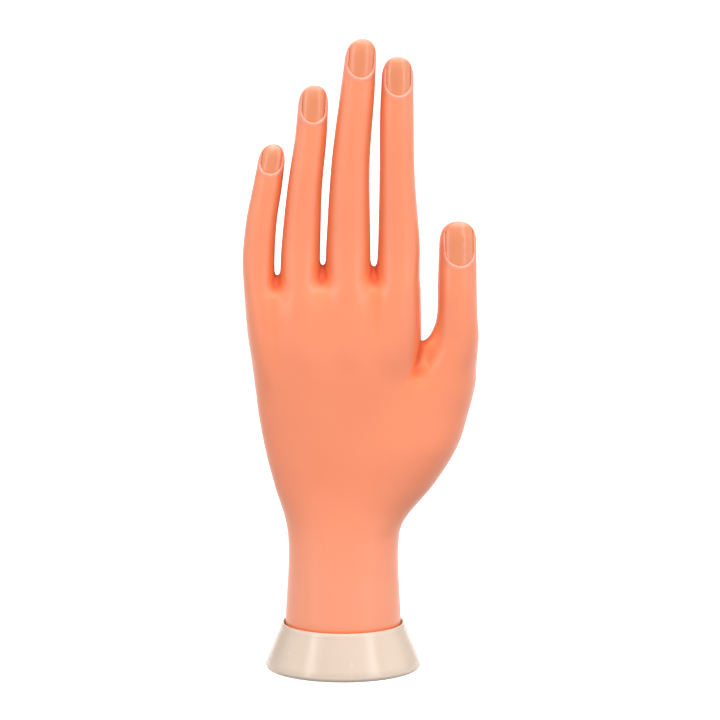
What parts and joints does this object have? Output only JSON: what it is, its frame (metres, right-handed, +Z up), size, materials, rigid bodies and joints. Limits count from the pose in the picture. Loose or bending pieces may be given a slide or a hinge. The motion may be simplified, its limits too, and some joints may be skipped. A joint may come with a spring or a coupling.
{
  "type": "nail practice hand",
  "caption": "Life-size soft vinyl left hand for nail practice, with bendable wired fingers and slide-in nails, standing upright on an oval flared stand.",
  "frame": {"origin": "centre of the stand's flat underside, on the surface that the hand stands on", "axes": "+Z up along the hand towards the fingertips, +X towards the thumb's side, +Y towards the palm's side, so the nails face -Y"},
  "size_m": [0.0877, 0.0472, 0.2399],
  "materials": {
    "soft_vinyl": "smooth soft vinyl, satin, warm peach",
    "nail_plastic": "glossy, a little browner than the skin",
    "stand_plastic": "glossy cream injection moulding",
    "plug_plastic": "moulded",
    "foam": "soft foam filling",
    "armature_wire": "annealed wire, satin",
    "screw_steel": "plated"
  },
  "bodies": {
    "stand": {"stand_shell": "stand_plastic", "stand_floor": "stand_plastic", "stand_screw": "screw_steel", "wrist_plug": "plug_plastic", "palm_core": "foam", "palm_skin": "soft_vinyl", "thumb_root_wire": "armature_wire", "thumb_root_fold": "soft_vinyl", "index_root_wire": "armature_wire", "index_root_fold": "soft_vinyl", "middle_root_wire": "armature_wire", "middle_root_fold": "soft_vinyl", "ring_root_wire": "armature_wire", "ring_root_fold": "soft_vinyl", "little_root_wire": "armature_wire", "little_root_fold": "soft_vinyl"},
    "thumb_proximal": {"thumb_proximal_skin": "soft_vinyl", "thumb_proximal_wire": "armature_wire", "thumb_tip_fold": "soft_vinyl"},
    "thumb_distal": {"thumb_distal_skin": "soft_vinyl", "thumb_distal_wire": "armature_wire"},
    "thumb_nail": {"thumb_nail": "nail_plastic"},
    "index_proximal": {"index_proximal_skin": "soft_vinyl", "index_proximal_wire": "armature_wire", "index_mid_fold": "soft_vinyl"},
    "index_middle": {"index_middle_skin": "soft_vinyl", "index_middle_wire": "armature_wire", "index_tip_fold": "soft_vinyl"},
    "index_distal": {"index_distal_skin": "soft_vinyl", "index_distal_wire": "armature_wire"},
    "index_nail": {"index_nail": "nail_plastic"},
    "middle_proximal": {"middle_proximal_skin": "soft_vinyl", "middle_proximal_wire": "armature_wire", "middle_mid_fold": "soft_vinyl"},
    "middle_middle": {"middle_middle_skin": "soft_vinyl", "middle_middle_wire": "armature_wire", "middle_tip_fold": "soft_vinyl"},
    "middle_distal": {"middle_distal_skin": "soft_vinyl", "middle_distal_wire": "armature_wire"},
    "middle_nail": {"middle_nail": "nail_plastic"},
    "ring_proximal": {"ring_proximal_skin": "soft_vinyl", "ring_proximal_wire": "armature_wire", "ring_mid_fold": "soft_vinyl"},
    "ring_middle": {"ring_middle_skin": "soft_vinyl", "ring_middle_wire": "armature_wire", "ring_tip_fold": "soft_vinyl"},
    "ring_distal": {"ring_distal_skin": "soft_vinyl", "ring_distal_wire": "armature_wire"},
    "ring_nail": {"ring_nail": "nail_plastic"},
    "little_proximal": {"little_proximal_skin": "soft_vinyl", "little_proximal_wire": "armature_wire", "little_mid_fold": "soft_vinyl"},
    "little_middle": {"little_middle_skin": "soft_vinyl", "little_middle_wire": "armature_wire", "little_tip_fold": "soft_vinyl"},
    "little_distal": {"little_distal_skin": "soft_vinyl", "little_distal_wire": "armature_wire"},
    "little_nail": {"little_nail": "nail_plastic"}
  },
  "joints": [
    {"name": "thumb_root_bend", "type": "hinge", "parent": "stand", "child": "thumb_proximal", "pos_m": [0.0426, 0.0005, 0.134], "axis": [-1, 0, 0], "range_deg": [-20, 50], "deforming": ["thumb_root_fold"]},
    {"name": "thumb_tip_bend", "type": "hinge", "parent": "thumb_proximal", "child": "thumb_distal", "pos_m": [0.0426, 0.0014, 0.148], "axis": [-1, 0, 0], "range_deg": [-15, 50], "deforming": ["thumb_tip_fold"]},
    {"name": "thumb_nail_slide", "type": "slide", "parent": "thumb_distal", "child": "thumb_nail", "axis": [0.026, 0.1388, 0.99], "range_m": [0, 0.0168]},
    {"name": "index_root_bend", "type": "hinge", "parent": "stand", "child": "index_proximal", "pos_m": [0.0208, -0.0006, 0.163], "axis": [-1, 0, 0], "range_deg": [-20, 70], "deforming": ["index_root_fold"]},
    {"name": "index_mid_bend", "type": "hinge", "parent": "index_proximal", "child": "index_middle", "pos_m": [0.0201, -0.0002, 0.189], "axis": [-1, 0, 0], "range_deg": [-10, 75], "deforming": ["index_mid_fold"]},
    {"name": "index_tip_bend", "type": "hinge", "parent": "index_middle", "child": "index_distal", "pos_m": [0.02, 0.0012, 0.212], "axis": [-1, 0, 0], "range_deg": [-10, 45], "deforming": ["index_tip_fold"]},
    {"name": "index_nail_slide", "type": "slide", "parent": "index_distal", "child": "index_nail", "axis": [0.0126, 0.149, 0.9888], "range_m": [0, 0.0147]},
    {"name": "middle_root_bend", "type": "hinge", "parent": "stand", "child": "middle_proximal", "pos_m": [0.002, -0.0008, 0.164], "axis": [-1, 0, 0], "range_deg": [-20, 70], "deforming": ["middle_root_fold"]},
    {"name": "middle_mid_bend", "type": "hinge", "parent": "middle_proximal", "child": "middle_middle", "pos_m": [0.0028, 0, 0.193], "axis": [-1, 0, 0], "range_deg": [-10, 75], "deforming": ["middle_mid_fold"]},
    {"name": "middle_tip_bend", "type": "hinge", "parent": "middle_middle", "child": "middle_distal", "pos_m": [0.0052, 0.0016, 0.2185], "axis": [-1, 0, 0], "range_deg": [-10, 45], "deforming": ["middle_tip_fold"]},
    {"name": "middle_nail_slide", "type": "slide", "parent": "middle_distal", "child": "middle_nail", "axis": [0.0818, 0.1626, 0.9833], "range_m": [0, 0.0147]},
    {"name": "ring_root_bend", "type": "hinge", "parent": "stand", "child": "ring_proximal", "pos_m": [-0.0156, -0.0004, 0.163], "axis": [-1, 0, 0], "range_deg": [-20, 70], "deforming": ["ring_root_fold"]},
    {"name": "ring_mid_bend", "type": "hinge", "parent": "ring_proximal", "child": "ring_middle", "pos_m": [-0.0142, 0.0004, 0.184], "axis": [-1, 0, 0], "range_deg": [-10, 75], "deforming": ["ring_mid_fold"]},
    {"name": "ring_tip_bend", "type": "hinge", "parent": "ring_middle", "child": "ring_distal", "pos_m": [-0.012, 0.0018, 0.2025], "axis": [-1, 0, 0], "range_deg": [-10, 45], "deforming": ["ring_tip_fold"]},
    {"name": "ring_nail_slide", "type": "slide", "parent": "ring_distal", "child": "ring_nail", "axis": [0.0618, 0.1542, 0.9861], "range_m": [0, 0.014]},
    {"name": "little_root_bend", "type": "hinge", "parent": "stand", "child": "little_proximal", "pos_m": [-0.0315, 0.0004, 0.1575], "axis": [-1, 0, 0], "range_deg": [-20, 70], "deforming": ["little_root_fold"]},
    {"name": "little_mid_bend", "type": "hinge", "parent": "little_proximal", "child": "little_middle", "pos_m": [-0.0303, 0.0011, 0.1715], "axis": [-1, 0, 0], "range_deg": [-10, 75], "deforming": ["little_mid_fold"]},
    {"name": "little_tip_bend", "type": "hinge", "parent": "little_middle", "child": "little_distal", "pos_m": [-0.0282, 0.0023, 0.1835], "axis": [-1, 0, 0], "range_deg": [-10, 45], "deforming": ["little_tip_fold"]},
    {"name": "little_nail_slide", "type": "slide", "parent": "little_distal", "child": "little_nail", "axis": [0.1527, 0.1837, 0.971], "range_m": [0, 0.0111]}
  ]
}
